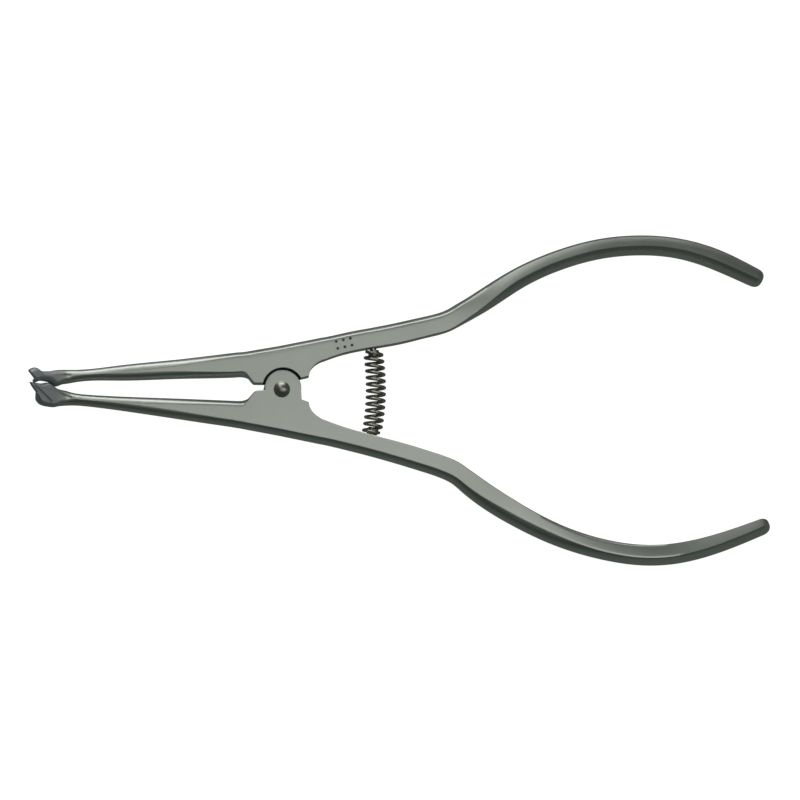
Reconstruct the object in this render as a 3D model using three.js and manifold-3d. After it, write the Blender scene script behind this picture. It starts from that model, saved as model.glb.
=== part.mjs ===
// Reverse-action spring pliers: two forged arms that stay on their own sides of a lap joint, a
// domed rivet, and a coil spring on two pegs that keeps the forked tips together.
// Millimetres. The tool lies flat: +X runs from the tips to the handle ends, +Y to the upper
// handle, +Z out of the front face. The origin is on the rivet's axis, in the joint's back face.

import * as THREE from 'three';
import { mergeVertices } from 'three/addons/utils/BufferGeometryUtils.js';
import Module from 'manifold-3d';

const wasm = await Module();
wasm.setup();

// Driving dimensions
const PLATE = 5;              // thickness at the joint and along the shanks
const MID = PLATE / 2;        // height of the lap plane
const LAP_GAP = 0.2;          // running gap between the two laps
const BOSS_RADIUS = 4.4;      // round boss of each lap
const RECESS_RADIUS = 4.95;   // pocket in the other arm that the boss turns in
const BOSS_OFFSET = 0.28;     // the bosses stand a little off the axis, to the handles and outward
const EDGE = 0.3;             // broken edges of the joint plates
const HOLE_RADIUS = 1.18;     // rivet hole
const SHANK_RADIUS = 1.1;     // rivet shank
const DOME_RADIUS = 1.95;     // rivet head
const DOME_HEIGHT = 1.15;
const SPRING_X = 21.85;       // where the spring stands between the shanks
const SPRING_RADIUS = 2.08;   // to the middle of the wire
const WIRE_RADIUS = 0.39;
const SPRING_TURNS = 12.3;
const SPRING_HALF = 9.7;      // half length to the middle of the end wires
const SPRING_BOW = 0.85;      // the spring bows a little towards the handles
const PEG_WALL = 10.3;        // distance of the shanks' inner walls from the middle plane
const PEG_TILT = 0.2;         // lean of the pegs, square to the sloping walls, in radians
const PEG_RADIUS = 1.35;
const PEG_LENGTH = 1.9;
const STEM_RADIUS = 0.8;      // peg stem, and the depth of its hole in the shank
const STEM_LENGTH = 2.2;
const PEG_CHAMFER = 0.3;
const TIP_START = -50;        // the jaws turn up out of the plane of the tool from here
const TIP_SLOPE = 0.5;        // rise of the tips per millimetre of length
const TIP_BEND = 2.5;         // length of the bend from TIP_START to the full slope
const TIP_DEPTH = 3.4;        // thickness of a jaw at TIP_START
const TIP_TAPER = 0.06;       // thickness lost per millimetre past TIP_START
const JAW_END = -8;           // the jaws have run into the joint plates here
const JAW_GAIN = 1.5;         // thickness gained from TIP_START to JAW_END
const GROOVE_RADIUS = 0.35;   // wire groove that runs on from each notch
const GRIP_START = 38;        // the square shanks turn into softer, thicker grips from here
const GRIP_FULL = 56;         // where that change is complete
const SHANK_DEPTH = 4.9;      // thickness of the shanks
const GRIP_GAIN = 0.5;        // thickness the grips have over the shanks
const GRIP_TWIST = 0.31;      // turn of the grips about their own line, in radians
const LOWER_TWIST_FULL = 110; // the lower grip turns gradually, up to here
const GRIP_LIFT = 0.36;       // rise that keeps the twisted grips off the back plane
const ROUND_END = 2.2;        // length over which the handle ends close

// Squareness of the sections, as the exponent of a superellipse
const ROD_SQUARENESS = 2.4;   // jaws, up to ROD_END
const BAR_SQUARENESS = 5.4;   // from BAR_START to the shanks
const GRIP_SQUARENESS = 3.8;
const ROD_END = -32;
const BAR_START = -12;

// Fineness of the meshes
const RING_SIDES = 16;
const ROUND_SIDES = 48;
const JAW_STEPS = 44;
const HANDLE_STEPS = 60;
const STEPS_PER_TURN = 16;

const steel = new THREE.MeshStandardMaterial({ color: 0x9a9e98, roughness: 0.45, metalness: 1 });
const domeSteel = new THREE.MeshStandardMaterial({ color: 0x77796f, roughness: 0.3, metalness: 1 });
const springSteel = new THREE.MeshStandardMaterial({ color: 0x55564e, roughness: 0.3, metalness: 1 });

// Middle line of each arm as [x, y, width seen from the front], from the tip to the joint and
// from the joint to the handle end. The arms are bent by hand, so the lower one is longer.
const UPPER_JAW = [
  [-60.75, 1.95, 1.9], [-60.3, 1.89, 2.78], [-59.9, 1.8, 3.4], [-59.4, 1.83, 3.65],
  [-58.9, 1.85, 3.5], [-58.5, 1.88, 3.15], [-58, 1.8, 2.64], [-57.6, 1.72, 2.43],
  [-57, 1.69, 2.42], [-56.3, 1.69, 2.53], [-55.35, 1.6, 2.95], [-54.4, 1.41, 3.82],
  [-53.9, 1.42, 4], [-53.4, 1.55, 3.92], [-52.5, 1.8, 3.58], [-51.6, 1.93, 3.45],
  [-49.6, 2.17, 3.1], [-38.7, 3.2, 3.7], [-24.3, 4.5, 4.75], [-14.8, 5.4, 5.7], [-8.9, 6, 6.2],
];
const LOWER_JAW = [
  [-61, -0.7, 1.6], [-60.3, -1.04, 2.32], [-59.6, -1.43, 2.95], [-59, -1.71, 3.38],
  [-58.55, -2, 3.9], [-58.2, -2.32, 4.47], [-57.9, -2.52, 4.87], [-57.4, -2.64, 5.23],
  [-56.9, -2.65, 5.5], [-56.3, -2.62, 5.73], [-55.35, -2.8, 5.5], [-54.4, -3.11, 4.9],
  [-53.9, -3.2, 4.5], [-53.4, -3.21, 4.18], [-52.5, -3.2, 3.84], [-51.6, -3.2, 3.62],
  [-50.3, -3.3, 3.2], [-46.3, -3.6, 2.85], [-38.5, -4.12, 3.4], [-24.1, -5.1, 5],
  [-14.5, -5.77, 6.04], [-8.9, -6.15, 6.6],
];
const UPPER_HANDLE = [
  [8.3, 9.65, 6.2], [13.6, 11.25, 5.3], [28.1, 14.4, 5.2], [33, 15.68, 5.1], [36.6, 16.62, 5.05],
  [38.2, 17.1, 5.05], [39.6, 17.67, 5], [41, 18.4, 4.95], [42.4, 19.25, 5],
  [45.2, 20.95, 5.1], [47.1, 22.15, 5.2], [56.6, 28.4, 5], [66.1, 32.92, 4.8],
  [75.7, 35.82, 4.78], [85.2, 36.97, 4.77], [94.9, 36.43, 4.8], [104.5, 33.77, 4.95],
  [111, 30.95, 4.65], [115.1, 29.08, 4.3],
];
const LOWER_HANDLE = [
  [8.3, -9.35, 6.2], [14.4, -11, 5.3], [28.9, -14.55, 5.2], [34.5, -16.12, 5.2],
  [38.5, -17.35, 5.2], [40.4, -18.07, 5.2], [41.9, -18.8, 5.15], [43.3, -19.73, 5.1],
  [45, -21.02, 5.3], [48.2, -23.38, 5.55], [58, -29.2, 5.45], [67.7, -33.53, 5.15],
  [77.3, -36.26, 4.9], [87, -37.46, 4.88], [96.5, -36.77, 4.84], [106.1, -34.2, 4.7],
  [117.6, -29.65, 4.2],
];

// Notch of each tip in plan. It leaves the outer prong longer on the upper tip, and the inner
// prong longer on the lower one.
const UPPER_NOTCH = [[-59.05, 1.15], [-63, 5.45], [-63, -1], [-59.45, -1], [-59.45, 0.75]];
const LOWER_NOTCH = [[-58.5, -2.1], [-63, 3.1], [-63, -6.5], [-58.6, -6.5], [-58.6, -2.4]];
// Ends of the wire groove that runs on from each notch, in plan.
const UPPER_GROOVE = [[-59.6, 1.05], [-54.2, 0.2]];
const LOWER_GROOVE = [[-59.2, -0.75], [-55, -4.4]];

// Section of an arm at x: its depth, the height of its middle, its twist and its squareness.
function gripShare(x) {
  return THREE.MathUtils.smoothstep(x, GRIP_START, GRIP_FULL);
}

function depthAt(x) {
  const past = x - TIP_START;
  if (past < 0) return TIP_DEPTH + TIP_TAPER * past;
  if (x < JAW_END) return TIP_DEPTH + JAW_GAIN * past / (JAW_END - TIP_START);
  return SHANK_DEPTH + GRIP_GAIN * gripShare(x);
}

function heightAt(x) {
  const past = Math.max(0, TIP_START - x);
  const bent = Math.min(past, TIP_BEND);
  const rise = bent * bent / (2 * TIP_BEND) + past - bent;
  return MID + TIP_SLOPE * rise + GRIP_LIFT * gripShare(x);
}

function twistAt(x, y) {
  const full = y > 0 ? GRIP_FULL : LOWER_TWIST_FULL;
  return GRIP_TWIST * THREE.MathUtils.smoothstep(x, GRIP_START, full);
}

// The jaws are rods that grow square towards the joint, and a little squarer at the very tips.
function squarenessAt(x) {
  if (x > 0) return THREE.MathUtils.lerp(BAR_SQUARENESS, GRIP_SQUARENESS, gripShare(x));
  const grown = THREE.MathUtils.smoothstep(x, ROD_END, BAR_START);
  const blunt = THREE.MathUtils.smoothstep(TIP_START - x, 2, 5);
  return THREE.MathUtils.lerp(ROD_SQUARENESS, BAR_SQUARENESS, grown) + blunt;
}

// Solids and meshes

function toSolid(geometry) {
  const bare = geometry.clone();
  bare.deleteAttribute('normal');
  bare.deleteAttribute('uv');
  const merged = mergeVertices(bare, 1e-4);
  return new wasm.Manifold(new wasm.Mesh({
    numProp: 3,
    vertProperties: new Float32Array(merged.attributes.position.array),
    triVerts: new Uint32Array(merged.index.array),
  }));
}

function toGeometry(solid) {
  const mesh = solid.getMesh();
  const geometry = new THREE.BufferGeometry();
  geometry.setAttribute('position', new THREE.BufferAttribute(mesh.vertProperties, 3));
  geometry.setIndex(new THREE.BufferAttribute(mesh.triVerts, 1));
  geometry.computeVertexNormals();
  return geometry;
}

// A geometry from rings of points that turn the same way about the line of travel.
function skin(rings) {
  const sides = rings[0].length;
  const points = rings.flat();
  const faces = [];
  for (let i = 0; i + 1 < rings.length; i += 1) {
    for (let j = 0; j < sides; j += 1) {
      const a = i * sides + j;
      const b = i * sides + (j + 1) % sides;
      faces.push(a, b, a + sides, b, b + sides, a + sides);
    }
  }
  const last = points.length - sides;
  for (let j = 1; j + 1 < sides; j += 1) {
    faces.push(0, j + 1, j);
    faces.push(last, last + j, last + j + 1);
  }
  const geometry = new THREE.BufferGeometry().setFromPoints(points);
  geometry.setIndex(faces);
  return geometry;
}

// One section of an arm: a rounded rectangle (a superellipse) square to the line of travel.
// Its own half width is what makes the twisted section as wide as asked, seen from the front.
function section(middle, travel, width, scale) {
  const x = middle.x;
  const side = new THREE.Vector3(0, 0, 1).cross(travel).normalize();
  const up = travel.clone().cross(side).normalize();
  const twist = twistAt(x, middle.y);
  const front = up.clone().multiplyScalar(Math.cos(twist)).addScaledVector(side, Math.sin(twist));
  const edge = side.clone().multiplyScalar(Math.cos(twist)).addScaledVector(up, -Math.sin(twist));
  const squareness = squarenessAt(x);
  const power = 2 / squareness;
  const depth = depthAt(x);
  const reach = squareness / (squareness - 1);
  const tilted = (width / 2) ** reach - (depth / 2 * Math.sin(twist)) ** reach;
  const half = tilted ** (1 / reach) / Math.cos(twist);
  const ring = [];
  for (let j = 0; j < RING_SIDES; j += 1) {
    const angle = 2 * Math.PI * (j + 0.5) / RING_SIDES;
    const across = Math.sign(Math.cos(angle)) * Math.abs(Math.cos(angle)) ** power;
    const out = Math.sign(Math.sin(angle)) * Math.abs(Math.sin(angle)) ** power;
    ring.push(middle.clone()
      .addScaledVector(edge, across * scale * half)
      .addScaledVector(front, out * scale * depth / 2));
  }
  return ring;
}

// The frame of an arm's line at u: its middle, its direction and its width. The sections of a
// jaw stay square to X in plan.
function frameAt(curve, u) {
  const step = 0.002;
  const here = curve.getPoint(u);
  const before = curve.getPoint(Math.max(0, u - step));
  const after = curve.getPoint(Math.min(1, u + step));
  const at = (point) => new THREE.Vector3(point.x, point.y, heightAt(point.x));
  const travel = at(after).sub(at(before));
  if (here.x < 0) travel.y = 0;
  return { middle: at(here), travel: travel.normalize(), width: here.z };
}

function curveOf(line) {
  return new THREE.CatmullRomCurve3(line.map(([x, y, width]) => new THREE.Vector3(x, y, width)));
}

// A bar along a line. A round end closes over the last few millimetres as an ellipse.
function bar(line, steps, roundEnd = 0) {
  const curve = curveOf(line);
  const rings = [];
  const places = [];
  for (let i = 0; i <= steps; i += 1) places.push([i / steps, 1]);
  if (roundEnd > 0) {
    const length = curve.getLength();
    const start = 1 - roundEnd / length;
    while (places.length > 0 && places[places.length - 1][0] > start) places.pop();
    for (const part of [0, 0.35, 0.65, 0.85, 0.96, 1]) {
      places.push([start + part * roundEnd / length, Math.sqrt(1.06 - part * part)]);
    }
  }
  for (const [u, scale] of places) {
    const { middle, travel, width } = frameAt(curve, u);
    rings.push(section(middle, travel, width, Math.min(1, scale)));
  }
  return toSolid(skin(rings));
}

// The plate of an arm at the joint, seen from the front, between the jaw and the handle.
function upperPlate() {
  const shape = new THREE.Shape();
  shape.moveTo(-10.6, 2.86);
  shape.lineTo(-9.9, 2.88);
  shape.quadraticCurveTo(-8.3, 2.9, -7.6, 2.28);
  shape.lineTo(-6.85, 1.5);
  shape.quadraticCurveTo(-6.6, 1.22, -6.2, 1.21);
  shape.lineTo(-4.2, 1.23);
  shape.lineTo(4.3, 2.6);
  shape.lineTo(6.45, 3.15);
  shape.quadraticCurveTo(6.65, 5.9, 10.2, 7.25);
  shape.lineTo(10.2, 13.05);
  shape.lineTo(-0.6, 10.65);
  shape.lineTo(-10.6, 8.7);
  return shape;
}

function lowerPlate() {
  const shape = new THREE.Shape();
  shape.moveTo(-10.6, -2.82);
  shape.lineTo(-9.9, -2.8);
  shape.quadraticCurveTo(-8.5, -2.75, -7.75, -2.05);
  shape.lineTo(-6.75, -0.85);
  shape.quadraticCurveTo(-6.35, -0.3, -5.6, -0.25);
  shape.lineTo(-4.2, -0.14);
  shape.lineTo(4.68, -0.2);
  shape.lineTo(4.8, -2.15);
  shape.lineTo(6.55, -2.75);
  shape.quadraticCurveTo(6.65, -5.35, 10.2, -6.95);
  shape.lineTo(10.2, -12.85);
  shape.lineTo(-0.6, -10.9);
  shape.lineTo(-10.6, -9.2);
  return shape;
}

function plate(shape) {
  const geometry = new THREE.ExtrudeGeometry(shape, {
    depth: PLATE - 2 * EDGE,
    bevelThickness: EDGE,
    bevelSize: EDGE,
    bevelOffset: -EDGE,
    bevelSegments: 1,
    curveSegments: 8,
  });
  return toSolid(geometry.translate(0, 0, EDGE));
}

// A disc from one height to another. The lap discs stand off the axis, up in front, down behind.
function disc(radius, low, high, offset = 0, outward = 0) {
  const geometry = new THREE.CylinderGeometry(radius, radius, high - low, ROUND_SIDES);
  geometry.rotateX(Math.PI / 2).translate(offset, outward * offset, (low + high) / 2);
  return toSolid(geometry);
}

// A notch through the full depth of a tip, drawn in plan, which forks it and slants its end.
function notch(corners) {
  const plan = new THREE.Shape(corners.map(([x, y]) => new THREE.Vector2(x, y)));
  const overTheTips = 12;
  return toSolid(new THREE.ExtrudeGeometry(plan, { depth: overTheTips, bevelEnabled: false }));
}

// A wire groove from one point in plan to another, half sunk in the front of a tip.
function groove(from, to) {
  const [start, end] = [from, to].map(([x, y]) => (
    new THREE.Vector3(x, y, heightAt(x) + depthAt(x) / 2)));
  const run = end.clone().sub(start);
  const sides = RING_SIDES;
  const geometry = new THREE.CylinderGeometry(GROOVE_RADIUS, GROOVE_RADIUS, run.length(), sides);
  const upright = new THREE.Vector3(0, 1, 0);
  geometry.applyQuaternion(new THREE.Quaternion().setFromUnitVectors(upright, run.normalize()));
  const middle = start.add(end).multiplyScalar(0.5);
  return toSolid(geometry.translate(middle.x, middle.y, middle.z));
}

// A lathe profile [radius, height] stood on a shank's inner wall, leaning square to it.
function onShank(profile, outward) {
  const points = profile.map(([radius, height]) => new THREE.Vector2(radius, height));
  const geometry = new THREE.LatheGeometry(points, ROUND_SIDES / 2);
  geometry.rotateX(outward > 0 ? Math.PI : 0);
  geometry.rotateZ(outward * PEG_TILT);
  return geometry.translate(SPRING_X, outward * PEG_WALL, MID);
}

function pegHole(outward) {
  const clearance = 0.08;
  const radius = STEM_RADIUS + clearance;
  const depth = STEM_LENGTH + 2 * clearance;
  const above = 2;
  return toSolid(onShank([[0, -depth], [radius, -depth], [radius, above], [0, above]], outward));
}

function peg(outward) {
  const foot = 0.3;
  return onShank([
    [0, -STEM_LENGTH],
    [STEM_RADIUS, -STEM_LENGTH],
    [STEM_RADIUS, foot],
    [PEG_RADIUS, foot],
    [PEG_RADIUS, PEG_LENGTH - PEG_CHAMFER],
    [PEG_RADIUS - PEG_CHAMFER, PEG_LENGTH],
    [0, PEG_LENGTH],
  ], outward);
}

// Upper arm: pocket in front, boss behind.
function upperArm() {
  const body = bar(UPPER_JAW, JAW_STEPS)
    .add(plate(upperPlate()))
    .add(bar(UPPER_HANDLE, HANDLE_STEPS, ROUND_END))
    .subtract(disc(RECESS_RADIUS, MID - LAP_GAP / 2, PLATE + 1, BOSS_OFFSET, 1))
    .add(disc(BOSS_RADIUS, 0, MID - LAP_GAP / 2, BOSS_OFFSET, -1))
    .subtract(disc(HOLE_RADIUS, -1, PLATE + 1))
    .subtract(notch(UPPER_NOTCH))
    .subtract(groove(...UPPER_GROOVE))
    .subtract(pegHole(1));
  return toGeometry(body);
}

// Lower arm: boss in front, pocket behind.
function lowerArm() {
  const body = bar(LOWER_JAW, JAW_STEPS)
    .add(plate(lowerPlate()))
    .add(bar(LOWER_HANDLE, HANDLE_STEPS, ROUND_END))
    .subtract(disc(RECESS_RADIUS, -1, MID + LAP_GAP / 2, BOSS_OFFSET, -1))
    .add(disc(BOSS_RADIUS, MID + LAP_GAP / 2, PLATE, BOSS_OFFSET, 1))
    .subtract(disc(HOLE_RADIUS, -1, PLATE + 1))
    .subtract(notch(LOWER_NOTCH))
    .subtract(groove(...LOWER_GROOVE))
    .subtract(pegHole(-1));
  return toGeometry(body);
}

// Domed rivet: the head stands just clear of the boss, the back end is flush.
function rivet() {
  const clearance = 0.05;
  const seat = PLATE + clearance;
  const sphere = (DOME_RADIUS ** 2 + DOME_HEIGHT ** 2) / (2 * DOME_HEIGHT);
  const points = [
    new THREE.Vector2(0, 0),
    new THREE.Vector2(SHANK_RADIUS, 0),
    new THREE.Vector2(SHANK_RADIUS, seat),
  ];
  const reach = Math.asin(DOME_RADIUS / sphere);
  const steps = 8;
  for (let i = 0; i <= steps; i += 1) {
    const angle = reach * (1 - i / steps);
    const height = seat + DOME_HEIGHT - sphere * (1 - Math.cos(angle));
    points.push(new THREE.Vector2(i < steps ? sphere * Math.sin(angle) : 0, height));
  }
  return new THREE.LatheGeometry(points, ROUND_SIDES).rotateX(Math.PI / 2);
}

// Middle of the spring's wire, a helix about a line that bows towards the handles.
class SpringLine extends THREE.Curve {
  getPoint(t, target = new THREE.Vector3()) {
    const angle = 2 * Math.PI * SPRING_TURNS * (t - 0.5);
    const along = 1 - 2 * t;
    const bow = SPRING_BOW * (1 - along * along);
    return target.set(
      SPRING_X + bow + SPRING_RADIUS * Math.sin(angle),
      SPRING_HALF * along,
      MID + SPRING_RADIUS * Math.cos(angle),
    );
  }
}

function spring() {
  const wire = new THREE.Shape();
  wire.absarc(0, 0, WIRE_RADIUS, 0, 2 * Math.PI);
  return new THREE.ExtrudeGeometry(wire, {
    extrudePath: new SpringLine(),
    steps: Math.round(SPRING_TURNS * STEPS_PER_TURN),
    curveSegments: 6,
    bevelEnabled: false,
  });
}

function piece(name, geometry, material) {
  const mesh = new THREE.Mesh(geometry, material);
  mesh.name = name;
  return mesh;
}

const pliers = new THREE.Group();
pliers.add(piece('upper_arm', upperArm(), steel));
pliers.add(piece('lower_arm', lowerArm(), steel));
pliers.add(piece('pivot_rivet', rivet(), domeSteel));
pliers.add(piece('return_spring', spring(), springSteel));
pliers.add(piece('upper_spring_peg', peg(1), springSteel));
pliers.add(piece('lower_spring_peg', peg(-1), springSteel));

export default pliers;
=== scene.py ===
import math

import bpy
import numpy as np
from mathutils import Matrix, Vector


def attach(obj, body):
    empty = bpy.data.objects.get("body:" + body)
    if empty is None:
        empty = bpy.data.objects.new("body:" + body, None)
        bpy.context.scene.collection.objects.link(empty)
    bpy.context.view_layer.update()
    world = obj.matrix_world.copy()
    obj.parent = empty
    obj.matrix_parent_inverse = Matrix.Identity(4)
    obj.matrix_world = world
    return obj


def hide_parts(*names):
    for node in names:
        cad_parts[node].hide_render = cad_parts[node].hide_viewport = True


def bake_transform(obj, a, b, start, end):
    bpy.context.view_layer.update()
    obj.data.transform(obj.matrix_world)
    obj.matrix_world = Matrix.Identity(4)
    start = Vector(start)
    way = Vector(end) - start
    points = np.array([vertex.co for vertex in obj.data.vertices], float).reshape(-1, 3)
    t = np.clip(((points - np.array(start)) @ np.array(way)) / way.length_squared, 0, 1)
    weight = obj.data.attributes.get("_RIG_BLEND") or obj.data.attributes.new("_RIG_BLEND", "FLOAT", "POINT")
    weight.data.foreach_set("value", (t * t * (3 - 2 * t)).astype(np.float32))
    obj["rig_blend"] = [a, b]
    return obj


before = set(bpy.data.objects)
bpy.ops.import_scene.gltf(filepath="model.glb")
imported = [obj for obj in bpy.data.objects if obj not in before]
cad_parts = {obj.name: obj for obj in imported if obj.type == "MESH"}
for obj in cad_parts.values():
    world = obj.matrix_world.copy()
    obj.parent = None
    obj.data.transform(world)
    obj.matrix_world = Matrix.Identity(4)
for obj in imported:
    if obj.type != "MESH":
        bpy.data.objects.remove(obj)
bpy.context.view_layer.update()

# Reverse-action spring pliers. Shapes are drawn in millimetres and scaled to metres at the end.
# +X runs to the handle ends, +Y to the upper handle, +Z out of the front face.
# A sign of 1 stands for the upper arm and -1 for the lower arm.

MM = 0.001
SIDES = {"upper": 1, "lower": -1}

# Lap joint
PLATE = 5.0
MID = PLATE / 2
LAP_GAP = 0.2
BOSS_RADIUS = 4.4
BOSS_BEVEL = 0.2
BOSS_OFFSET = 0.28
RECESS_RADIUS = 4.95
RECESS_FLARE = 0.08
HOLE_RADIUS = 1.18
CUT_TOP = 7.0
CUT_BOTTOM = -1.0

# Rivet
RIVET_FOOT = 1.0
RIVET_SHANK = 1.1
DOME_SEAT = PLATE + 0.03
DOME_RADIUS = 1.95
DOME_HEIGHT = 1.1
DOME_EDGE = 0.06

# Depth and height of the arms along x
TIP_START = -50.0
TIP_SLOPE = 0.5
TIP_BEND = 2.5
TIP_DEPTH = 3.4
TIP_TAPER = 0.06
JAW_LENGTH = 42.0
JAW_GAIN = 1.5
JAW_END = -5.0
GRIP_START = 38.0
GRIP_FULL = 56.0
GRIP_GAIN = 0.4
GRIP_LIFT = 0.36

# Section of the arms
GRIP_TWIST = 0.31
TWIST_FULL = {1: GRIP_FULL, -1: 110.0}
GRIP_CROWN = {1: 0.3, -1: 0.08}
CROWN_START = 40.0
CROWN_FULL = 58.0
EDGE_BREAK = 0.15
SIDE_POINTS = 15
FACE_POINTS = 7
SHARP_ANGLE = math.radians(38)

# Meeting of the joint plates and the handles, and the rounded handle ends
HANDLE_START = 10.0
HANDLE_SQUARE = 22.0
HANDLE_BLEND = 18.0
HANDLE_SAMPLES = 1200
END_LENGTH = 2.3
END_SQUARENESS = 2.6
END_FLAT = 0.03
END_RINGS = 14

# Spring and its pegs
SPRING_X = 21.85
SPRING_RADIUS = 2.08
SPRING_TURNS = 12.3
SPRING_HALF = 9.7
SPRING_BOW = 0.85
SPRING_LEAN = 0.065
SPRING_STEPS = 40
WIRE_RADIUS = 0.39
WIRE_SIDES = 12
PEG_WALL = 10.3
PEG_TILT = 0.2
PEG_HOLE = [(0, -2.35), (0.88, -2.35), (0.88, 2), (0, 2)]
PEG = [
    (0, -2.2), (0.8, -2.2), (0.8, 0.3), (1.25, 0.3), (1.35, 0.4), (1.35, 1.5), (1.27, 1.72),
    (1.05, 1.9), (0, 1.9),
]

# Six etched dots on the front of the upper shank
MARK = (14.7, 11.4)
MARK_LEAN = math.atan(0.25)
DOT_GAP = 1.75
DOT_ROW = 0.85
DOT_RADIUS = 0.36
DOT_DEPTH = 0.06

# Notches in the tips as plan outlines, and grooves as two plan points and a radius
NOTCH_LEAN = 0.12
NOTCH_LEVEL = 7.0
NOTCH_TOP = 12.0
NOTCH = {
    1: [(-59.05, 1.15), (-63, 5.45), (-63, -1), (-59.45, -1), (-59.45, 0.75)],
    -1: [(-58.5, -2.1), (-63, 3.1), (-63, -6.5), (-58.6, -6.5), (-58.6, -2.4)],
}
GROOVE = {
    1: ((-59.6, 1.05), (-54.2, 0.2), 0.3),
    -1: ((-59.2, -0.75), (-55, -4.4), 0.36),
}

# Middle line of each jaw and handle as x, y, width seen from the front
JAW = {
    1: [
        (-60.75, 1.95, 1.9), (-60.3, 1.89, 2.78), (-59.9, 1.8, 3.4), (-59.4, 1.83, 3.65),
        (-58.9, 1.85, 3.5), (-58.5, 1.88, 3.15), (-58, 1.8, 2.64), (-57.6, 1.72, 2.43),
        (-57, 1.69, 2.42), (-56.3, 1.69, 2.53), (-55.35, 1.6, 2.95), (-54.4, 1.41, 3.82),
        (-53.9, 1.42, 4), (-53.4, 1.55, 3.92), (-52.5, 1.8, 3.58), (-51.6, 1.93, 3.45),
        (-49.6, 2.17, 3.1), (-38.7, 3.2, 3.7), (-24.3, 4.5, 4.75), (-14.8, 5.4, 5.7),
        (-8.9, 6, 6.2),
    ],
    -1: [
        (-61, -0.7, 1.6), (-60.3, -1.04, 2.32), (-59.6, -1.43, 2.95), (-59, -1.71, 3.38),
        (-58.55, -2, 3.9), (-58.2, -2.32, 4.47), (-57.9, -2.52, 4.87), (-57.4, -2.64, 5.23),
        (-56.9, -2.65, 5.5), (-56.3, -2.62, 5.73), (-55.35, -2.8, 5.5), (-54.4, -3.11, 4.9),
        (-53.9, -3.2, 4.5), (-53.4, -3.21, 4.18), (-52.5, -3.2, 3.84), (-51.6, -3.2, 3.62),
        (-50.3, -3.3, 3.2), (-46.3, -3.6, 2.85), (-38.5, -4.12, 3.4), (-24.1, -5.1, 5),
        (-14.5, -5.77, 6.04), (-8.9, -6.15, 6.6),
    ],
}
HANDLE = {
    1: [
        (8.3, 9.65, 6.2), (13.6, 11.25, 5.3), (28.1, 14.4, 5.2), (33, 15.68, 5.1),
        (36.6, 16.62, 5.05), (38.2, 17.1, 5.05), (39.6, 17.67, 5), (41, 18.4, 4.95),
        (42.4, 19.25, 5), (45.2, 20.95, 5.1), (47.1, 22.15, 5.2), (56.6, 28.4, 5),
        (66.1, 32.92, 4.8), (75.7, 35.82, 4.78), (85.2, 36.97, 4.77), (94.9, 36.43, 4.8),
        (104.5, 33.77, 4.95), (111, 30.95, 4.65), (115.1, 29.08, 4.3),
    ],
    -1: [
        (8.3, -9.35, 6.2), (14.4, -11, 5.3), (28.9, -14.55, 5.2), (34.5, -16.12, 5.2),
        (38.5, -17.35, 5.2), (40.4, -18.07, 5.2), (41.9, -18.8, 5.15), (43.3, -19.73, 5.1),
        (45, -21.02, 5.3), (48.2, -23.38, 5.55), (58, -29.2, 5.45), (67.7, -33.53, 5.15),
        (77.3, -36.26, 4.9), (87, -37.46, 4.88), (96.5, -36.72, 4.75), (106.1, -34.02, 4.35),
        (117.6, -29.38, 3.65),
    ],
}

# Edges of the joint plates. The inner ones are straight runs and quadratic curves, given as
# start, control and end. The outer ones are straight runs between points.
INNER_EDGE = {
    1: [
        [(-9.9, 2.88), (-8.3, 2.9), (-7.6, 2.28)],
        [(-7.6, 2.28), (-6.85, 1.5)],
        [(-6.85, 1.5), (-6.6, 1.22), (-6.2, 1.21)],
        [(-6.2, 1.21), (-4.2, 1.23)],
        [(-4.2, 1.23), (4.3, 2.6)],
        [(4.3, 2.6), (6.45, 3.15)],
        [(6.45, 3.15), (6.65, 5.9), (10.2, 7.25)],
    ],
    -1: [
        [(-9.9, -2.8), (-8.5, -2.75), (-7.75, -2.05)],
        [(-7.75, -2.05), (-6.75, -0.85)],
        [(-6.75, -0.85), (-6.35, -0.3), (-5.6, -0.25)],
        [(-5.6, -0.25), (-4.2, -0.14)],
        [(-4.2, -0.14), (4.68, -0.2)],
        [(4.68, -0.2), (4.8, -2.15)],
        [(4.8, -2.15), (6.55, -2.75)],
        [(6.55, -2.75), (6.65, -5.35), (10.2, -6.95)],
    ],
}
OUTER_EDGE = {
    1: [(-9.8, 8.85), (-0.6, 10.65), (10.2, 13.05)],
    -1: [(-9.8, -9.4), (-0.6, -10.9), (10.2, -12.85)],
}

# Corners of the round cutters and pieces
LAP_SIDES = 128
HOLE_SIDES = 48
PEG_SIDES = 48
RIVET_SIDES = 64
RIVET_RINGS = 16
DOT_SIDES = 24
GROOVE_SIDES = 16

# Where the jaw's two edges hand over to the plate's, along x
INNER_MEETING = (-11.5, -9.4)
OUTER_MEETING = (-12.0, -8.0)

# How far each side of an arm bulges past the edges of its faces: the bulge at the tip, then
# each change as an amount and the two x positions that it takes place between
OUTER_BULGE = {
    1: (1.2, [(0.9, -58, -55.5), (-1, -38, -10)]),
    -1: (0.75, [(1.3, -55, -52), (-0.55, -38, -10), (0.6, 42, 54), (-0.6, 60, 80),
                (-0.9, 62, 95)]),
}
INNER_BULGE = {
    1: (1.15, [(0.9, -58, -55.5), (-0.9, -38, -10), (-1, -9.6, -7), (0.8, 38, 56)]),
    -1: (0.85, [(0.8, -55, -52), (-0.5, -38, -10), (-1, -9.6, -7), (0.8, 52, 72),
                (-0.5, 80, 100)]),
}

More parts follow.
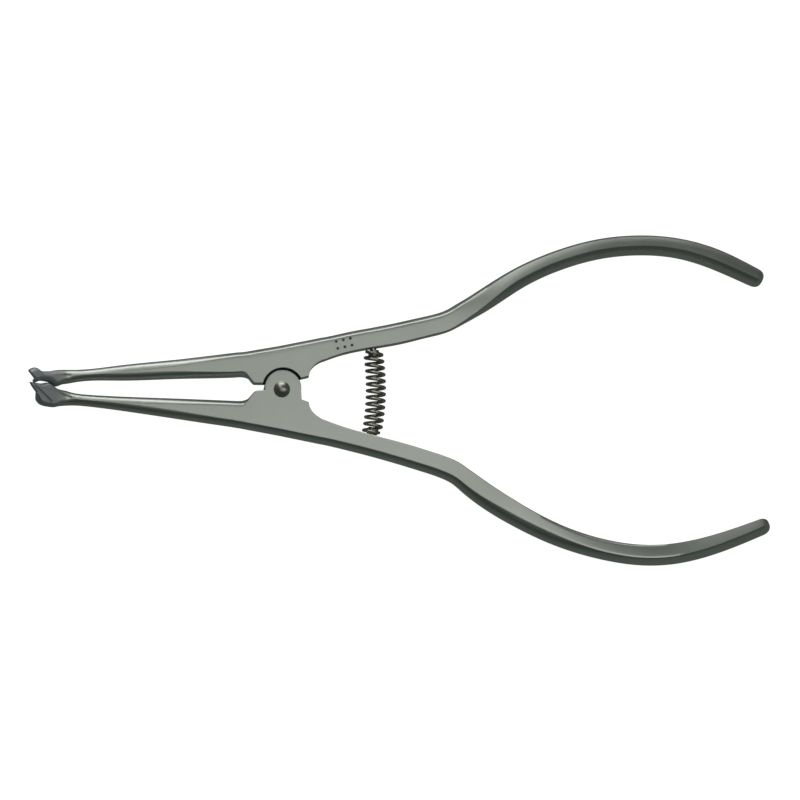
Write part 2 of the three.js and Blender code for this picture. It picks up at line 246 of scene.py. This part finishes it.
# Stations from the tips to the handles as start, end and step along x, closest where the
# shoulders are steep
SPANS = [
    (-61.3, -49.3, 0.12), (-49.3, -12, 0.5), (-12, -9.4, 0.2), (-9.4, -5.4, 0.06),
    (-5.4, 4.2, 0.4), (4.2, 4.9, 0.02), (4.9, 6.3, 0.2), (6.3, 7.2, 0.03), (7.2, 10, 0.15),
]

# Steel: size of its clouds and of its blasted grain, per metre, and the grey of the tips
CLOUD_SCALE = 90
CLOUD_DETAIL = 5
CLOUD_EDGES = (0.3, 0.7)
GRAIN_SCALE = 5000
GRAIN_DETAIL = 2
GRAIN_HEIGHT = 0.02 * MM
TIP_FADE = {"From Min": -54.5 * MM, "From Max": -51 * MM}
TIP_GREY = (0.5, 0.52, 0.53, 1)
TIP_ROUGHNESS = 0.6

# Room light, from low in the room to high, by the height of the direction it comes from
ROOM_COLOUR = (0.9, 1.0, 0.95, 1)
ROOM_FADE = {"From Min": -0.2, "From Max": 0.5, "To Min": 0.12, "To Max": 0.042}

# Lights as name, place, target, width, height and power
LIGHTS = [
    ("overhead_middle", (0, 0, 0.42), (0.02, 0, 0), 0.2, 0.2, 0.09),
    ("overhead_handles", (0.22, 0, 0.4), (0.06, 0, 0), 0.2, 0.2, 0.15),
    ("key_back_left", (-0.15, 0.36, 0.34), (-0.03, 0, 0), 0.24, 0.16, 0.14),
    ("back_fill", (-0.12, 0.22, 0.42), (-0.03, 0, 0), 0.2, 0.14, 0.05),
    ("back_strip", (0, 0.5, 0.12), (0.02, 0, 0), 0.5, 0.23, 0.72),
    ("handle_side", (0.48, 0, 0.34), (0.06, 0, 0), 0.2, 0.3, 0.035),
]
FLOOR_REACH = 4.0
FLOOR_LEVEL = -0.0002

# Camera: nearly straight above the joint, leaning a little to the tips and the lower handle.
# The picture is 800 units wide, SCALE of them to a millimetre, and PIVOT is the joint's place.
LEAN_X = 0.08
LEAN_Y = 0.10
ROLL = math.radians(1.4)
PICTURE = 800
SCALE = 4.19
PIVOT = (281.9, 389.3)
LENS = 600.0
SENSOR = 36.0


# Curves and profiles

def smoothstep(value, low, high):
    part = np.clip((np.asarray(value, float) - low) / (high - low), 0, 1)
    return part * part * (3 - 2 * part)


def spline(knots, values, at):
    """Natural cubic spline through the knots."""
    knots = np.asarray(knots, float)
    values = np.asarray(values, float)
    gaps = np.diff(knots)
    slopes = np.diff(values) / gaps
    count = len(knots)
    matrix = np.eye(count)
    right = np.zeros(count)
    for i in range(1, count - 1):
        matrix[i, i - 1:i + 2] = gaps[i - 1], 2 * (gaps[i - 1] + gaps[i]), gaps[i]
        right[i] = 6 * (slopes[i] - slopes[i - 1])
    second = np.linalg.solve(matrix, right)
    i = np.clip(np.searchsorted(knots, at) - 1, 0, count - 2)
    gap, left, rest = gaps[i], at - knots[i], knots[i + 1] - at
    cubic = (second[i] * rest ** 3 + second[i + 1] * left ** 3) / (6 * gap)
    from_start = (values[i] / gap - second[i] * gap / 6) * rest
    to_end = (values[i + 1] / gap - second[i + 1] * gap / 6) * left
    return cubic + from_start + to_end


def running_length(x, y):
    return np.concatenate([[0], np.cumsum(np.hypot(np.diff(x), np.diff(y)))])


def edge_points(pieces):
    """Points along straight runs and quadratic curves."""
    out = []
    for piece in pieces:
        piece = np.array(piece, float)
        if len(piece) == 2:
            out.extend(piece)
            continue
        for t in np.linspace(0, 1, 24):
            out.append(piece[0] * (1 - t) ** 2 + 2 * piece[1] * t * (1 - t) + piece[2] * t * t)
    return np.array(out)


def middle_height(x):
    """Height of the middle of an arm at x: the tips and the grips rise to the front."""
    past = np.maximum(0, TIP_START - np.asarray(x, float))
    bent = np.minimum(past, TIP_BEND)
    rise = bent ** 2 / (2 * TIP_BEND) + past - bent
    return MID + TIP_SLOPE * rise + GRIP_LIFT * smoothstep(x, GRIP_START, GRIP_FULL)


def depth_at(x):
    """Depth of an arm, front to back, at x."""
    tip = TIP_DEPTH + TIP_TAPER * (x - TIP_START)
    jaw = np.minimum(TIP_DEPTH + JAW_GAIN * (x - TIP_START) / JAW_LENGTH, PLATE)
    body = PLATE + GRIP_GAIN * smoothstep(x, GRIP_START, GRIP_FULL)
    return float(np.where(x < TIP_START, tip, np.where(x < JAW_END, jaw, body)))


def bulge_along(x, bulge):
    """The bulge of a side at x, from its amount at the tip and its changes."""
    start, changes = bulge
    return start + sum(amount * smoothstep(x, low, high) for amount, low, high in changes)


# Meshes

def add_mesh(name, points, faces):
    mesh = bpy.data.meshes.new(name)
    mesh.from_pydata([tuple(p) for p in np.asarray(points) * MM], [], faces)
    mesh.validate()
    obj = bpy.data.objects.new(name, mesh)
    bpy.context.scene.collection.objects.link(obj)
    return obj


def smooth(obj, angle):
    """Shades a piece smoothly, except across edges sharper than an angle in degrees."""
    obj.data.shade_smooth()
    obj.data.set_sharp_from_angle(angle=math.radians(angle))


def tube_faces(rings, sides):
    """Faces of a tube with closed ends, for rings that turn anticlockwise about its travel."""
    faces = []
    for i in range(rings - 1):
        for j in range(sides):
            a = i * sides + j
            b = i * sides + (j + 1) % sides
            faces.append((a, b, b + sides, a + sides))
    faces.append(tuple(range(sides - 1, -1, -1)))
    faces.append(tuple(range((rings - 1) * sides, rings * sides)))
    return faces


def circle(sides):
    """Cosine and sine of each corner of a round section."""
    angles = [2 * math.pi * j / sides for j in range(sides)]
    return [(math.cos(a), math.sin(a)) for a in angles]


def lathe(name, profile, sides, axis_x=0.0, axis_y=0.0):
    """A closed turned solid about a vertical axis. The profile starts and ends on the axis."""
    points = [(axis_x, axis_y, profile[0][1])]
    inner = profile[1:-1]
    for radius, height in inner:
        for c, s in circle(sides):
            points.append((axis_x + radius * c, axis_y + radius * s, height))
    points.append((axis_x, axis_y, profile[-1][1]))
    top = len(points) - 1
    last = 1 + (len(inner) - 1) * sides
    faces = []
    for j in range(sides):
        k = (j + 1) % sides
        faces.append((0, 1 + k, 1 + j))
        faces.append((top, last + j, last + k))
        for a in range(1, last, sides):
            faces.append((a + j, a + k, a + k + sides, a + j + sides))
    return add_mesh(name, points, faces)


def bake(obj):
    """Applies a piece's modifiers to its mesh."""
    bpy.context.view_layer.update()
    depsgraph = bpy.context.evaluated_depsgraph_get()
    mesh = bpy.data.meshes.new_from_object(obj.evaluated_get(depsgraph))
    obj.modifiers.clear()
    obj.data = mesh


def combine(obj, tool, operation):
    """Cuts a tool out of a piece, or joins it on, and removes the tool."""
    modifier = obj.modifiers.new("cut", "BOOLEAN")
    modifier.operation = operation
    modifier.solver = "MANIFOLD"
    modifier.object = tool
    bake(obj)
    bpy.data.objects.remove(tool)


def faces_at_corners(mesh, corner_faces):
    """Pairs of corners and faces: each corner with every face that shares its vertex."""
    corners = len(mesh.loops)
    vertices = np.empty(corners, int)
    mesh.loops.foreach_get("vertex_index", vertices)
    order = np.argsort(vertices, kind="stable")
    counts = np.bincount(vertices, minlength=len(mesh.vertices))
    first = np.concatenate([[0], np.cumsum(counts)[:-1]])
    sharing = counts[vertices]
    corner = np.repeat(np.arange(corners), sharing)
    offset = np.arange(len(corner)) - np.repeat(np.cumsum(sharing) - sharing, sharing)
    return corner, corner_faces[order[first[vertices[corner]] + offset]]


def even_shading(obj):
    """Corner normals weighted by face area, so flat faces stay flat up to their rounded edges."""
    mesh = obj.data
    mesh.shade_smooth()
    faces, corners = len(mesh.polygons), len(mesh.loops)
    normals = np.empty(faces * 3)
    areas = np.empty(faces)
    totals = np.empty(faces, int)
    mesh.polygons.foreach_get("normal", normals)
    mesh.polygons.foreach_get("area", areas)
    mesh.polygons.foreach_get("loop_total", totals)
    normals = normals.reshape(-1, 3)
    own = np.repeat(np.arange(faces), totals)
    corner, other = faces_at_corners(mesh, own)
    cosines = np.einsum("ij,ij->i", normals[own[corner]], normals[other])
    weight = areas[other] * (cosines > math.cos(SHARP_ANGLE))
    blended = np.stack([
        np.bincount(corner, weight * normals[other, k], minlength=corners) for k in range(3)
    ], axis=1)
    length = np.linalg.norm(blended, axis=1, keepdims=True)
    blended = np.where(length > 0, blended / np.maximum(length, 1e-30), normals[own])
    mesh.normals_split_custom_set(blended.tolist())


# Arms

def plate_stations(sign):
    """Stations of a jaw and its joint plate: x, y, direction of travel, half width."""
    xs = np.concatenate([np.arange(low, high - 1e-6, step) for low, high, step in SPANS])
    jaw = np.array(JAW[sign], float)
    xs = xs[xs >= jaw[0, 0]]
    on_jaw = np.minimum(xs, jaw[-1, 0])
    middle = spline(jaw[:, 0], jaw[:, 1], on_jaw)
    reach = sign * spline(jaw[:, 0], jaw[:, 2], on_jaw) / 2
    near = edge_points(INNER_EDGE[sign])
    far = np.array(OUTER_EDGE[sign], float)
    mix = smoothstep(xs, *INNER_MEETING)
    inner = (middle - reach) * (1 - mix) + np.interp(xs, near[:, 0], near[:, 1]) * mix
    mix = smoothstep(xs, *OUTER_MEETING)
    outer = (middle + reach) * (1 - mix) + np.interp(xs, far[:, 0], far[:, 1]) * mix
    return np.column_stack([xs, (inner + outer) / 2, np.zeros(len(xs)), abs(outer - inner) / 2])


def handle_stations(sign, plate_end):
    """Stations of a shank and grip, spaced along their middle line from the plate's end."""
    handle = np.array(HANDLE[sign], float)
    knots = running_length(handle[:, 0], handle[:, 1])
    at = np.linspace(0, knots[-1], HANDLE_SAMPLES)
    x, y, width = (spline(knots, handle[:, k], at) for k in range(3))
    heading = np.arctan2(np.gradient(y, at), np.gradient(x, at))
    every = np.column_stack([x, y, width, heading])[x > HANDLE_START]
    x, y, width, heading = every[::-4][::-1].T
    turn = heading * smoothstep(x, HANDLE_START, HANDLE_SQUARE)
    half = width / 2 / np.cos(heading - turn)
    fade = 1 - smoothstep(x, HANDLE_START, HANDLE_BLEND)
    y = y + (plate_end[1] - np.interp(plate_end[0], x, y)) * fade
    half = half + (plate_end[3] - half[0]) * fade
    return np.column_stack([x, y, turn, half])


def barrel_section(half, depth, top, bottom, crown):
    """A section with flat or crowned faces and bulging sides, anticlockwise, with broken edges.
    Half and depth are its half sizes. Top and bottom are the bulges of its two sides."""
    room = 0.98 * min(half, depth)
    top, bottom = min(top, room), min(bottom, room)
    points = []
    for way, bulge, beyond in ((1, top, bottom), (-1, bottom, top)):
        radius = (depth ** 2 + bulge ** 2) / (2 * bulge)
        reach = math.asin(min(1, depth / radius))
        broken = min(EDGE_BREAK / radius, reach / 4)
        for angle in np.linspace(-reach + broken, reach - broken, SIDE_POINTS):
            points.append((way * (half - radius + radius * math.cos(angle)),
                           way * radius * math.sin(angle)))
        start = half - bulge - min(EDGE_BREAK, (half - bulge) / 4)
        stop = -half + beyond + min(EDGE_BREAK, (half - beyond) / 4)
        for t in np.linspace(0, 1, FACE_POINTS):
            at = start * (1 - t) + stop * t
            lift = crown * (1 - (at / half) ** 2)
            points.append((way * at, way * (depth + lift)))
    return np.array(points)


def twisted_section(half, depth, bulges, crown, twist):
    """A section that keeps its width as seen from the front when it is turned by the twist."""
    own = half
    for _ in range(4 if twist > 1e-4 else 1):
        ring = barrel_section(own, depth - crown, *bulges, crown)
        seen = ring[:, 0] * math.cos(twist) + ring[:, 1] * math.sin(twist)
        own += (half - (seen.max() - seen.min()) / 2) / math.cos(twist)
    return ring


def arm_ring(station, shrink, sign):
    """One ring of an arm's surface, square to its travel."""
    x, y, turn, half, z, rise, twist, outer, inner = station
    side = np.array([-math.sin(turn), math.cos(turn), 0.0])
    travel = np.array([math.cos(turn), math.sin(turn), rise])
    up = np.cross(travel / np.linalg.norm(travel), side)
    front = up * math.cos(twist) + side * math.sin(twist)
    edge = side * math.cos(twist) - up * math.sin(twist)
    bulges = (outer, inner) if sign > 0 else (inner, outer)
    crown = GRIP_CROWN[sign] * float(smoothstep(x, CROWN_START, CROWN_FULL))
    ring = twisted_section(half, depth_at(x) / 2, bulges, crown, twist) * shrink
    return np.array([x, y, z]) + edge * ring[:, :1] + front * ring[:, 1:]


def arm_body(name, sign):
    """An arm before its joint and tip are cut: rings along its stations, with a round end."""
    plate = plate_stations(sign)
    stations = np.vstack([plate, handle_stations(sign, plate[-1])])
    x, y = stations[:, 0], stations[:, 1]
    z = middle_height(x)
    stations = np.column_stack([
        stations, z, np.gradient(z, x),
        GRIP_TWIST * smoothstep(x, GRIP_START, TWIST_FULL[sign]),
        bulge_along(x, OUTER_BULGE[sign]), bulge_along(x, INNER_BULGE[sign]),
    ])
    length = running_length(x, y)
    before_end = length[-1] - length > END_LENGTH
    rings = [arm_ring(station, 1.0, sign) for station in stations[before_end]]
    for part in np.sin(np.linspace(0, math.pi / 2, END_RINGS)):
        at = length[-1] - END_LENGTH * (1 - part)
        station = [np.interp(at, length, column) for column in stations.T]
        round_part = max(0.0, 1 - part ** END_SQUARENESS) ** (1 / END_SQUARENESS)
        rings.append(arm_ring(station, round_part * (1 - END_FLAT) + END_FLAT, sign))
    return add_mesh(name, np.vstack(rings), tube_faces(len(rings), len(rings[0])))


def about_boss(name, profile, outward):
    """A turned solid about a boss's axis, drawn for the front and mirrored for the back."""
    if outward < 0:
        profile = [(radius, PLATE - height) for radius, height in reversed(profile)]
    return lathe(name, profile, LAP_SIDES, BOSS_OFFSET, outward * BOSS_OFFSET)


def pocket(outward):
    """Cutter of the round seat that the other arm's boss turns in."""
    floor = MID - LAP_GAP / 2
    rim = RECESS_RADIUS + RECESS_FLARE
    return about_boss("pocket", [
        (0, floor), (RECESS_RADIUS, floor), (RECESS_RADIUS, PLATE - RECESS_FLARE),
        (rim, PLATE), (rim, CUT_TOP), (0, CUT_TOP),
    ], outward)


def boss(outward):
    """A lap's round boss, with a broken edge at its face."""
    foot = MID + LAP_GAP / 2
    return about_boss("boss", [
        (0, foot), (BOSS_RADIUS, foot), (BOSS_RADIUS, PLATE - BOSS_BEVEL),
        (BOSS_RADIUS - 0.3 * BOSS_BEVEL, PLATE - 0.3 * BOSS_BEVEL),
        (BOSS_RADIUS - BOSS_BEVEL, PLATE), (0, PLATE),
    ], outward)


def rivet_hole():
    return lathe("hole", [
        (0, CUT_BOTTOM), (HOLE_RADIUS, CUT_BOTTOM), (HOLE_RADIUS, CUT_TOP), (0, CUT_TOP),
    ], HOLE_SIDES)


def notch(outline):
    """Cutter of a tip's notch. Its sides lean along x, and the outline is true at one level."""
    area = sum(a[0] * b[1] - b[0] * a[1] for a, b in zip(outline, outline[1:] + outline[:1]))
    if area < 0:
        outline = outline[::-1]
    points = [(x + NOTCH_LEAN * (z - NOTCH_LEVEL), y, z)
              for z in (0, NOTCH_TOP) for x, y in outline]
    return add_mesh("notch", points, tube_faces(2, len(outline)))


def groove(start, stop, radius):
    """A thin round cutter along the front of a tip."""
    ends = [np.array([x, y, float(middle_height(x)) + depth_at(x) / 2]) for x, y in (start, stop)]
    run = (ends[1] - ends[0]) / np.linalg.norm(ends[1] - ends[0])
    side = np.cross([0, 0, 1], run)
    side /= np.linalg.norm(side)
    up = np.cross(run, side)
    points = [end + radius * (side * c + up * s)
              for end in ends for c, s in circle(GROOVE_SIDES)]
    return add_mesh("groove", points, tube_faces(2, GROOVE_SIDES))


def dot_centres():
    """Six dots in two rows along the shank."""
    c, s = math.cos(MARK_LEAN), math.sin(MARK_LEAN)
    return [(MARK[0] + along * c - across * s, MARK[1] + along * s + across * c)
            for across in (-DOT_ROW, DOT_ROW) for along in (-DOT_GAP, 0, DOT_GAP)]


def dot(x, y):
    """Cutter of one shallow etched dot."""
    floor = PLATE - DOT_DEPTH
    return lathe("dot", [
        (0, floor), (DOT_RADIUS, floor), (DOT_RADIUS, CUT_TOP), (0, CUT_TOP),
    ], DOT_SIDES, x, y)


def arm_piece(name, sign):
    arm = arm_body(name, sign)
    combine(arm, pocket(sign), "DIFFERENCE")
    combine(arm, boss(-sign), "UNION")
    for cutter in (rivet_hole(), notch(NOTCH[sign]), groove(*GROOVE[sign]), peg_hole(sign)):
        combine(arm, cutter, "DIFFERENCE")
    if sign > 0:
        for x, y in dot_centres():
            combine(arm, dot(x, y), "DIFFERENCE")
    even_shading(arm)
    return arm


# Spring, pegs and rivet

def spring_mesh():
    """A round wire wound about a bowed line between the shanks, its coils leaning a little."""
    steps = int(SPRING_TURNS * SPRING_STEPS)
    slope = SPRING_HALF / (math.pi * SPRING_TURNS * SPRING_RADIUS)
    points = []
    for i in range(steps + 1):
        angle = 2 * math.pi * SPRING_TURNS * (i / steps - 0.5)
        along = 1 - 2 * i / steps
        sine, cosine = math.sin(angle), math.cos(angle)
        centre = np.array([
            SPRING_X + SPRING_BOW * (1 - along * along) + SPRING_RADIUS * sine,
            SPRING_HALF * along - SPRING_LEAN * SPRING_RADIUS * cosine,
            MID + SPRING_RADIUS * cosine,
        ])
        out = np.array([sine, 0, cosine])
        run = np.array([cosine, -slope, -sine])
        across = np.cross(run / np.linalg.norm(run), out)
        points += [centre + WIRE_RADIUS * (out * c + across * s) for c, s in circle(WIRE_SIDES)]
    spring = add_mesh("return_spring_wire", points, tube_faces(steps + 1, WIRE_SIDES))
    smooth(spring, 60)
    return spring


def spring_weights(obj):
    """The spring shortens evenly between its two ends."""
    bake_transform(obj, "lower", "upper", start=(0, -0.0101, 0), end=(0, 0.0101, 0))
    ys = np.array([v.co.y for v in obj.data.vertices]) / MM
    weights = np.clip((ys + SPRING_HALF) / (2 * SPRING_HALF), 0, 1)
    attribute = obj.data.attributes.get("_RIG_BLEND")
    attribute.data.foreach_set("value", weights.astype(np.float32))


def on_shank(name, profile, outward):
    """A turned solid stood on a shank's inner wall, leaning square to it."""
    obj = lathe(name, profile, PEG_SIDES)
    points = np.array([v.co for v in obj.data.vertices])
    lean = outward * PEG_TILT
    along = np.array([outward * math.sin(lean), -outward * math.cos(lean), 0])
    across = np.array([math.cos(lean), math.sin(lean), 0])
    base = np.array([SPRING_X, outward * PEG_WALL, MID]) * MM
    third = np.cross(along, across)
    moved = base + points[:, 2:] * along + points[:, :1] * across + points[:, 1:2] * third
    for vertex, place in zip(obj.data.vertices, moved):
        vertex.co = place
    obj.data.update()
    return obj


def peg_hole(outward):
    return on_shank("peg_hole", PEG_HOLE, outward)


def peg(name, outward):
    pin = on_shank(name, PEG, outward)
    smooth(pin, 32)
    return pin


def rivet_mesh():
    """A rivet with a flush foot, a plain shank and a domed head."""
    profile = [
        (0, 0), (RIVET_FOOT, 0), (RIVET_SHANK, RIVET_SHANK - RIVET_FOOT), (RIVET_SHANK, DOME_SEAT),
        (DOME_RADIUS - DOME_EDGE, DOME_SEAT), (DOME_RADIUS, DOME_SEAT + DOME_EDGE),
    ]
    sphere = (DOME_RADIUS ** 2 + DOME_HEIGHT ** 2) / (2 * DOME_HEIGHT)
    reach = math.asin(DOME_RADIUS / sphere)
    top = DOME_SEAT + DOME_HEIGHT
    for i in range(1, RIVET_RINGS):
        angle = reach * (1 - i / RIVET_RINGS)
        profile.append((sphere * math.sin(angle), top - sphere * (1 - math.cos(angle))))
    profile.append((0, top))
    rivet = lathe("pivot_rivet_dome", profile, RIVET_SIDES)
    smooth(rivet, 32)
    return rivet


# Materials

def new_material(name, colour, roughness, metallic):
    material = bpy.data.materials.new(name)
    material.use_nodes = True
    shader = material.node_tree.nodes["Principled BSDF"]
    shader.inputs["Base Color"].default_value = (*colour, 1)
    shader.inputs["Metallic"].default_value = metallic
    shader.inputs["Roughness"].default_value = roughness
    return material, shader


def noise(tree, place, scale, detail):
    node = tree.nodes.new("ShaderNodeTexNoise")
    node.inputs["Scale"].default_value = scale
    node.inputs["Detail"].default_value = detail
    tree.links.new(place.outputs["Object"], node.inputs["Vector"])
    return node.outputs["Fac"]


def between(tree, value, inputs):
    """A map range node for a value, with the ends given by name."""
    node = tree.nodes.new("ShaderNodeMapRange")
    for name, number in inputs.items():
        node.inputs[name].default_value = number
    tree.links.new(value, node.inputs["Value"])
    return node


def dull_tips(tree, place, colour, roughness):
    """Fades a steel to the blasted grey of the tips."""
    split = tree.nodes.new("ShaderNodeSeparateXYZ")
    tree.links.new(place.outputs["Object"], split.inputs["Vector"])
    fade = between(tree, split.outputs["X"], TIP_FADE)
    fade.interpolation_type = "SMOOTHSTEP"
    tint = tree.nodes.new("ShaderNodeMix")
    tint.data_type = "RGBA"
    tint.inputs["A"].default_value = TIP_GREY
    blunt = tree.nodes.new("ShaderNodeMix")
    blunt.inputs["A"].default_value = TIP_ROUGHNESS
    for node, socket in ((tint, colour), (blunt, roughness)):
        tree.links.new(fade.outputs["Result"], node.inputs["Factor"])
        tree.links.new(socket, node.inputs["B"])
    return tint.outputs["Result"], blunt.outputs["Result"]


def steel(name, dark, light, rough_low, rough_high, grain, tips=False):
    """A steel with clouded colour and polish under a fine blasted grain."""
    material, shader = new_material(name, light, rough_low, 1.0)
    tree = material.node_tree
    place = tree.nodes.new("ShaderNodeTexCoord")
    cloud = noise(tree, place, CLOUD_SCALE, CLOUD_DETAIL)
    ramp = tree.nodes.new("ShaderNodeValToRGB")
    for element, position, shade in zip(ramp.color_ramp.elements, CLOUD_EDGES, (dark, light)):
        element.position = position
        element.color = (*shade, 1)
    tree.links.new(cloud, ramp.inputs["Fac"])
    colour = ramp.outputs["Color"]
    spread = between(tree, cloud, {"To Min": rough_low, "To Max": rough_high})
    roughness = spread.outputs["Result"]
    if tips:
        colour, roughness = dull_tips(tree, place, colour, roughness)
    tree.links.new(colour, shader.inputs["Base Color"])
    tree.links.new(roughness, shader.inputs["Roughness"])
    bump = tree.nodes.new("ShaderNodeBump")
    bump.inputs["Strength"].default_value = grain
    bump.inputs["Distance"].default_value = GRAIN_HEIGHT
    tree.links.new(noise(tree, place, GRAIN_SCALE, GRAIN_DETAIL), bump.inputs["Height"])
    tree.links.new(bump.outputs["Normal"], shader.inputs["Normal"])
    return material


def dress(obj, *materials):
    obj.data.materials.clear()
    for material in materials:
        obj.data.materials.append(material)


def paint(obj, slot, test):
    """Gives a material slot to the faces whose middle, in millimetres, passes a test."""
    for face in obj.data.polygons:
        if test(*(v / MM for v in face.center)):
            face.material_index = slot


def in_lap(x, y, z, sign):
    """Whether a point is on the walls or the floor of an arm's pocket, where a near-black steel is laid as
    painted shade.
    """
    near = math.hypot(x - BOSS_OFFSET, y - sign * BOSS_OFFSET) < RECESS_RADIUS + 0.03
    depth = PLATE - z if sign > 0 else z
    return near and 2 * RECESS_FLARE < depth < MID + LAP_GAP


def in_dot(x, y, z):
    """Whether a point is on the walls or the floor of an etched dot."""
    near = any(math.dist((x, y), centre) < DOT_RADIUS + 0.02 for centre in dot_centres())
    return near and PLATE - DOT_DEPTH - 0.03 < z < PLATE - 0.02


# Build

arm_steel = steel("satin_steel", (0.56, 0.6, 0.54), (0.62, 0.66, 0.595), 0.33, 0.4, 0.25,
                  tips=True)
# Near-black steel painted on the pocket's walls and floor as the shade deep in the narrow lap gap
lap_painted_shade = steel("painted_shade_lap_steel", (0.03, 0.032, 0.03), (0.06, 0.065, 0.06), 0.4, 0.5, 0.1)
mark_steel = steel("etched_steel", (0.12, 0.125, 0.11), (0.2, 0.21, 0.19), 0.55, 0.65, 0.2)
dome_steel = steel("rivet_steel", (0.42, 0.42, 0.37), (0.5, 0.5, 0.44), 0.3, 0.38, 0.15)
wire_steel = steel("spring_steel", (0.38, 0.38, 0.32), (0.48, 0.48, 0.41), 0.2, 0.27, 0.1)

upper = arm_piece("upper_arm_body", 1)
dress(upper, arm_steel, lap_painted_shade, mark_steel)
# The upper pocket's walls and floor take the near-black steel of slot 1: painted shade in the lap gap
paint(upper, 1, lambda x, y, z: in_lap(x, y, z, 1))
paint(upper, 2, in_dot)
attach(upper, "upper")
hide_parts("upper_arm")

lower = arm_piece("lower_arm_body", -1)
dress(lower, arm_steel, lap_painted_shade)
# The lower pocket's walls and floor take the near-black steel of slot 1: painted shade in the lap gap
paint(lower, 1, lambda x, y, z: in_lap(x, y, z, -1))
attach(lower, "lower")
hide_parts("lower_arm")

rivet = rivet_mesh()
dress(rivet, dome_steel)
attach(rivet, "lower")
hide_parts("pivot_rivet")

spring = spring_mesh()
dress(spring, wire_steel)
spring_weights(spring)
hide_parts("return_spring")

for side, outward in SIDES.items():
    pin = peg(side + "_peg", outward)
    dress(pin, wire_steel)
    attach(pin, side)
    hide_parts(side + "_spring_peg")


# Stage

def add_floor():
    """A white sheet under the object, seen by the camera but not lighting the steel."""
    material, shader = new_material("floor_white", (0.9, 0.9, 0.9), 0.9, 0.0)
    shader.inputs["Emission Color"].default_value = (1, 1, 1, 1)
    shader.inputs["Emission Strength"].default_value = 0.95
    corners = [(x * FLOOR_REACH, y * FLOOR_REACH, FLOOR_LEVEL)
               for x, y in ((-1, -1), (1, -1), (1, 1), (-1, 1))]
    mesh = bpy.data.meshes.new("floor")
    mesh.from_pydata(corners, [], [(0, 1, 2, 3)])
    mesh.materials.append(material)
    obj = bpy.data.objects.new("floor", mesh)
    bpy.context.scene.collection.objects.link(obj)
    obj.visible_glossy = False
    obj.visible_diffuse = False


def add_world():
    """A dim room, brighter towards the floor. The camera sees it as white."""
    world = bpy.data.worlds.new("studio")
    bpy.context.scene.world = world
    world.use_nodes = True
    tree = world.node_tree
    room = tree.nodes["Background"]
    room.inputs["Color"].default_value = ROOM_COLOUR
    way = tree.nodes.new("ShaderNodeTexCoord")
    split = tree.nodes.new("ShaderNodeSeparateXYZ")
    tree.links.new(way.outputs["Generated"], split.inputs["Vector"])
    fall = between(tree, split.outputs["Z"], ROOM_FADE)
    tree.links.new(fall.outputs["Result"], room.inputs["Strength"])
    backdrop = tree.nodes.new("ShaderNodeBackground")
    backdrop.inputs["Color"].default_value = (1, 1, 1, 1)
    ray = tree.nodes.new("ShaderNodeLightPath")
    pick = tree.nodes.new("ShaderNodeMixShader")
    tree.links.new(ray.outputs["Is Camera Ray"], pick.inputs["Fac"])
    tree.links.new(room.outputs["Background"], pick.inputs[1])
    tree.links.new(backdrop.outputs["Background"], pick.inputs[2])
    tree.links.new(pick.outputs["Shader"], tree.nodes["World Output"].inputs["Surface"])


def area_light(name, place, target, width, height, power):
    light = bpy.data.lights.new(name, "AREA")
    light.shape = "RECTANGLE"
    light.size = width
    light.size_y = height
    light.energy = power
    obj = bpy.data.objects.new(name, light)
    obj.location = place
    obj.rotation_euler = (Vector(target) - Vector(place)).to_track_quat("-Z", "Y").to_euler()
    obj.visible_camera = False
    bpy.context.scene.collection.objects.link(obj)


def place_camera():
    data = bpy.data.cameras.new("camera")
    data.lens = LENS
    data.sensor_width = SENSOR
    data.sensor_fit = "HORIZONTAL"
    data.clip_start = 0.01
    data.clip_end = 20
    obj = bpy.data.objects.new("camera", data)
    bpy.context.scene.collection.objects.link(obj)
    bpy.context.scene.camera = obj
    back = Vector((-LEAN_X, -LEAN_Y, 1)).normalized()
    right = Vector((math.cos(ROLL), math.sin(ROLL), 0))
    right = (right - back * right.dot(back)).normalized()
    up = back.cross(right)
    unit = MM / SCALE
    aside = (PICTURE / 2 - PIVOT[0]) * unit
    above = (PIVOT[1] - PICTURE / 2) * unit
    centre = Vector((0, 0, PLATE * MM)) + right * aside + up * above
    distance = PICTURE / 2 * unit / (SENSOR / 2 / LENS)
    obj.location = centre + back * distance
    obj.rotation_euler = Matrix((right, up, back)).transposed().to_euler()


add_floor()
add_world()
for row in LIGHTS:
    area_light(*row)
place_camera()
bpy.context.scene.view_settings.view_transform = "Standard"
